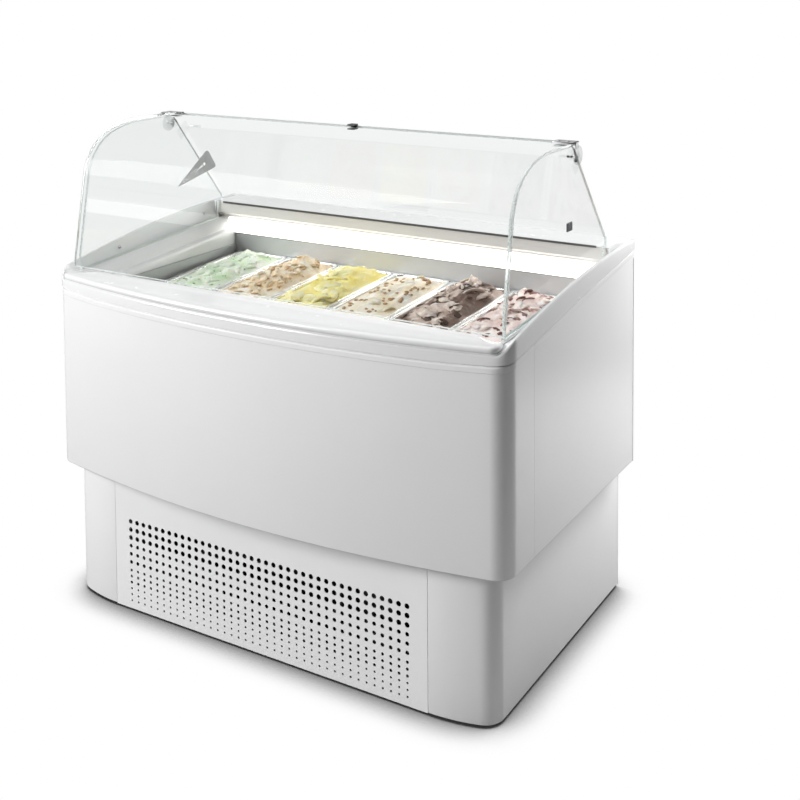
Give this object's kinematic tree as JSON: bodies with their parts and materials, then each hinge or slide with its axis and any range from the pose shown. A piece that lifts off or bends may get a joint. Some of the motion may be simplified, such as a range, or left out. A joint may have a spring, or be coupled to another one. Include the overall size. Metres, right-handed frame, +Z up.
{
  "type": "ice cream dipping cabinet",
  "caption": "Scooping cabinet for ice cream on a recessed vented base, with a bowed white body, lift-up curved glass hood, lamp, tilted pans and a clear rear flap.",
  "frame": {"origin": "on the floor under the middle of the cabinet, at half its width and half its depth", "axes": "+X to the right seen from the customers' side, +Y towards the operator's side, +Z up"},
  "size_m": [1.224, 0.754, 1.1401],
  "materials": {
    "pan_steel": "fine brushed",
    "ice_cream_1": "soft, frozen, with darker green pieces",
    "ice_cream_2": "soft, frozen, with brown flakes",
    "ice_cream_3": "soft, frozen, folded",
    "ice_cream_4": "soft, frozen, with nut chips",
    "ice_cream_5": "soft, frozen, with chocolate shards",
    "ice_cream_6": "soft, frozen, with a dark swirl",
    "foot_steel": "zinc plated",
    "white_paint": "satin white coating",
    "galvanised": "galvanised, dull",
    "white_plastic": "gloss white",
    "fascia_aluminium": "satin",
    "black_rubber": "matt",
    "glass": "clear, faint green edge",
    "clear_acrylic": "clear",
    "tank_steel": "fine brushed",
    "copper": "copper, slightly dull",
    "foam": "rigid foam",
    "lamp_glass": "lit tube",
    "lamp_diffuser": "opal, lit from behind",
    "bright_steel": "satin",
    "dark_fitting": "dark, polished edges",
    "machine_black": "semi-gloss black",
    "fin_aluminium": "thin bare fins",
    "black_plastic": "fine texture",
    "green_plastic": "translucent rocker"
  },
  "bodies": {
    "cabinet": {"chassis": "galvanised", "base_side_left": "white_paint", "base_side_right": "white_paint", "vent_panel": "white_paint", "base_rear_panel": "galvanised", "body_front_panel": "white_paint", "body_side_left": "white_paint", "body_side_right": "white_paint", "body_rear_panel": "galvanised", "body_floor": "galvanised", "insulation": "foam", "inner_tank": "tank_steel", "evaporator_coil": "copper", "top_frame": "white_plastic", "rear_deck": "white_plastic", "deck_fascia": "fascia_aluminium", "deck_seal": "black_rubber", "lamp_tube": "lamp_glass", "lamp_cover": "lamp_diffuser", "lamp_holders": "white_plastic", "pan_support": "tank_steel", "front_infill": "tank_steel", "end_glass_left": "glass", "end_glass_right": "glass", "glass_rails": "bright_steel", "rail_screws": "bright_steel", "hinge_mounts": "bright_steel", "flap_hinges": "bright_steel", "flap_pads": "dark_fitting", "compressor": "machine_black", "condenser": "fin_aluminium", "fan_motor": "machine_black", "pipework": "copper", "electrical_box": "galvanised", "control_panel": "black_plastic", "power_cable": "black_rubber"},
    "front_glass": {"front_glass": "glass", "glass_hinges": "bright_steel", "glass_stop": "dark_fitting"},
    "rear_flap": {"rear_flap": "clear_acrylic"},
    "fan": {"fan_blade": "black_plastic"},
    "thermostat": {"thermostat_knob": "black_plastic"},
    "power_rocker": {"power_switch": "green_plastic"},
    "light_rocker": {"light_switch": "black_plastic"},
    "pan_1": {"pan_1": "pan_steel", "ice_cream_1": "ice_cream_1"},
    "pan_2": {"pan_2": "pan_steel", "ice_cream_2": "ice_cream_2"},
    "pan_3": {"pan_3": "pan_steel", "ice_cream_3": "ice_cream_3"},
    "pan_4": {"pan_4": "pan_steel", "ice_cream_4": "ice_cream_4"},
    "pan_5": {"pan_5": "pan_steel", "ice_cream_5": "ice_cream_5"},
    "pan_6": {"pan_6": "pan_steel", "ice_cream_6": "ice_cream_6"},
    "foot_front_left": {"foot_front_left": "foot_steel"},
    "foot_front_right": {"foot_front_right": "foot_steel"},
    "foot_rear_left": {"foot_rear_left": "foot_steel"},
    "foot_rear_right": {"foot_rear_right": "foot_steel"}
  },
  "joints": [
    {"name": "glass_lift", "type": "hinge", "parent": "cabinet", "child": "front_glass", "pos_m": [0, 0.08, 1.108], "axis": [-1, 0, 0], "range_deg": [0, 60]},
    {"name": "flap_lift", "type": "hinge", "parent": "cabinet", "child": "rear_flap", "pos_m": [0, 0.13002, 1.09453], "axis": [1, 0, 0], "range_deg": [0, 70]},
    {"name": "fan_spin", "type": "hinge", "parent": "cabinet", "child": "fan", "pos_m": [0, -0.165, 0.15], "axis": [0, 1, 0], "continuous": true},
    {"name": "thermostat_turn", "type": "hinge", "parent": "cabinet", "child": "thermostat", "pos_m": [0.33, 0.355, 0.24], "axis": [0, 1, 0], "range_deg": [-270, 0]},
    {"name": "power_rock", "type": "hinge", "parent": "cabinet", "child": "power_rocker", "pos_m": [0.4, 0.351, 0.24], "axis": [1, 0, 0], "range_deg": [-12, 12]},
    {"name": "light_rock", "type": "hinge", "parent": "cabinet", "child": "light_rocker", "pos_m": [0.45, 0.351, 0.24], "axis": [1, 0, 0], "range_deg": [-12, 12]},
    {"name": "pan_1_lift", "type": "slide", "parent": "cabinet", "child": "pan_1", "axis": [0, -0.0471, 0.9989], "range_m": [0, 0.09]},
    {"name": "pan_2_lift", "type": "slide", "parent": "cabinet", "child": "pan_2", "axis": [0, -0.0471, 0.9989], "range_m": [0, 0.09]},
    {"name": "pan_3_lift", "type": "slide", "parent": "cabinet", "child": "pan_3", "axis": [0, -0.0471, 0.9989], "range_m": [0, 0.09]},
    {"name": "pan_4_lift", "type": "slide", "parent": "cabinet", "child": "pan_4", "axis": [0, -0.0471, 0.9989], "range_m": [0, 0.09]},
    {"name": "pan_5_lift", "type": "slide", "parent": "cabinet", "child": "pan_5", "axis": [0, -0.0471, 0.9989], "range_m": [0, 0.09]},
    {"name": "pan_6_lift", "type": "slide", "parent": "cabinet", "child": "pan_6", "axis": [0, -0.0471, 0.9989], "range_m": [0, 0.09]},
    {"name": "foot_front_left_screw", "type": "slide", "parent": "cabinet", "child": "foot_front_left", "axis": [0, 0, -1], "range_m": [0, 0.02]},
    {"name": "foot_front_right_screw", "type": "slide", "parent": "cabinet", "child": "foot_front_right", "axis": [0, 0, -1], "range_m": [0, 0.02]},
    {"name": "foot_rear_left_screw", "type": "slide", "parent": "cabinet", "child": "foot_rear_left", "axis": [0, 0, -1], "range_m": [0, 0.02]},
    {"name": "foot_rear_right_screw", "type": "slide", "parent": "cabinet", "child": "foot_rear_right", "axis": [0, 0, -1], "range_m": [0, 0.02]}
  ]
}
